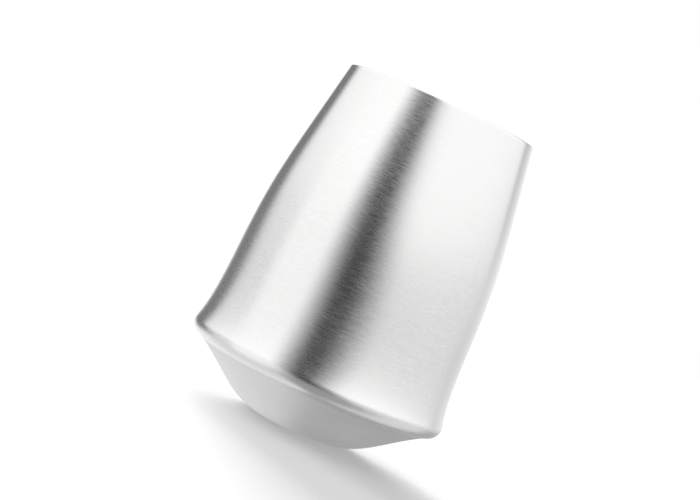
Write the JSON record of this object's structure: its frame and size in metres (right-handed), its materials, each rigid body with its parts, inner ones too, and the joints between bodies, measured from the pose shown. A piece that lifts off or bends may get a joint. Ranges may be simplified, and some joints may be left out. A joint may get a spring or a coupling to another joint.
{
  "type": "stemless wine glass",
  "caption": "Stemless double-wall wine glass in brushed stainless steel, tapering to a thin lip, with a bead round its foot and a satin dished base.",
  "frame": {"origin": "centre of the flat that the glass stands on", "axes": "+Z along the axis of revolution, from the base to the rim"},
  "size_m": [0.092, 0.092, 0.1197],
  "materials": {
    "brushed_steel": "fine brushing round the axis",
    "satin_steel": "satin inside and on the base, polished lip",
    "plain_steel": "mill finish, out of sight",
    "sintered_getter": "sintered, matt",
    "sealing_glass": "fused, glossy"
  },
  "bodies": {
    "root": {"outer_shell": "brushed_steel", "base_dish": "satin_steel", "inner_cup": "satin_steel", "vacuum_bottom": "plain_steel", "getter_clip": "plain_steel", "getter_pellet": "sintered_getter", "seal_bead": "sealing_glass"}
  },
  "joints": []
}
